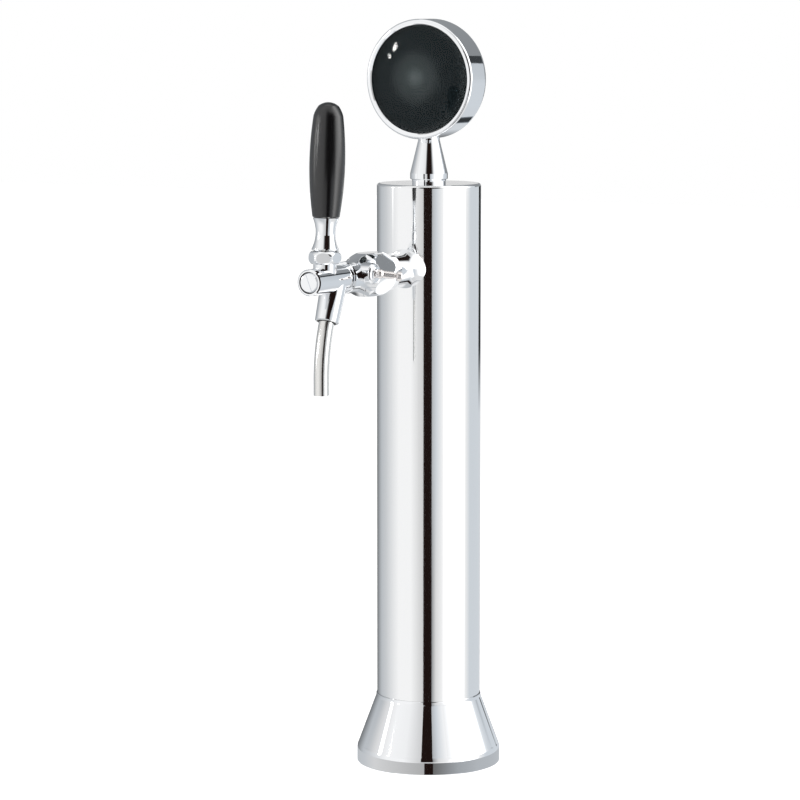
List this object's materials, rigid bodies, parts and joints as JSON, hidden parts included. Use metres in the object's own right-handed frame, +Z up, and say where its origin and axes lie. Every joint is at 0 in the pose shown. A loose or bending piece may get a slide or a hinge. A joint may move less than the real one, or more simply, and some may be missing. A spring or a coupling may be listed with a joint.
{
  "type": "beer tap tower",
  "caption": "Polished column beer tower on a conical foot, with a round medallion on top, a lever-handled flow-control tap and a bent spout.",
  "frame": {"origin": "centre of the circle of four tapped holes, in the plane the foot stands on", "axes": "+Z up the column, the tap points along -Y, +X to the right of someone facing along +Y, the flow lever's side"},
  "size_m": [0.1056, 0.2256, 0.5479],
  "materials": {
    "chrome": "polished chrome plate",
    "polished_column": "mirror-polished stainless tube",
    "stainless": "turned stainless steel",
    "zinc_steel": "zinc-plated steel",
    "brass": "turned brass",
    "black_grip": "gloss black",
    "black_rubber": "matt black",
    "white_plastic": "natural acetal",
    "badge_black": "gloss black, left bare",
    "spacer_plastic": "dark grey",
    "clear_lens": "clear domed resin",
    "line_tube": "natural beer hose",
    "foam": "closed-cell foam"
  },
  "bodies": {
    "tower": {"base_skirt": "chrome", "medallion_stem": "chrome", "medallion_housing": "chrome", "medallion_bezel": "chrome", "shank_rosette": "chrome", "coupling_nut": "chrome", "compensator_body": "chrome", "spindle_gland": "chrome", "valve_body": "chrome", "front_plug": "chrome", "bonnet_nut": "chrome", "column_tube": "polished_column", "shank": "stainless", "spout_tube": "stainless", "line_tail": "stainless", "base_flange": "zinc_steel", "top_plate": "zinc_steel", "column_screws": "zinc_steel", "stem_stud": "zinc_steel", "stem_nut": "zinc_steel", "stem_washer": "zinc_steel", "shank_locknut": "zinc_steel", "saddle_washer": "zinc_steel", "line_elbow": "brass", "elbow_nut": "brass", "base_gasket": "black_rubber", "neck_seal": "black_rubber", "plug_oring": "black_rubber", "spindle_seal": "black_rubber", "coupling_gasket": "black_rubber", "spout_seal": "black_rubber", "cone_guide": "white_plastic", "lever_seat": "white_plastic", "lever_ring": "white_plastic", "badge_disc": "badge_black", "badge_spacer": "spacer_plastic", "medallion_lens": "clear_lens", "beer_line": "line_tube", "line_insulation": "foam"},
    "handle": {"handle_lever": "stainless", "lever_pin": "stainless", "handle_ferrule": "chrome", "grip_insert": "brass", "handle_grip": "black_grip"},
    "piston": {"valve_piston": "brass", "piston_washer": "black_rubber", "piston_orings": "black_rubber"},
    "flow_control": {"flow_spindle": "stainless", "flow_lever": "chrome"},
    "flow_cone": {"compensator_cone": "white_plastic"}
  },
  "joints": [
    {"name": "handle_tilt", "type": "hinge", "parent": "tower", "child": "handle", "pos_m": [0, -0.1505, 0.381], "axis": [1, 0, 0], "range_deg": [0, 30]},
    {"name": "valve_slide", "type": "slide", "parent": "tower", "child": "piston", "axis": [0, 1, 0], "range_m": [0, 0.0062]},
    {"name": "flow_turn", "type": "hinge", "parent": "tower", "child": "flow_control", "pos_m": [0.0216, -0.11, 0.3715], "axis": [1, 0, 0], "range_deg": [0, 90]},
    {"name": "cone_slide", "type": "slide", "parent": "tower", "child": "flow_cone", "axis": [0, 1, 0], "range_m": [0, 0.00425]}
  ],
  "couplings": [
    {"joint": "valve_slide", "follows": "handle_tilt", "m_per_rad": 0.0118},
    {"joint": "cone_slide", "follows": "flow_turn", "m_per_rad": 0.002701}
  ]
}
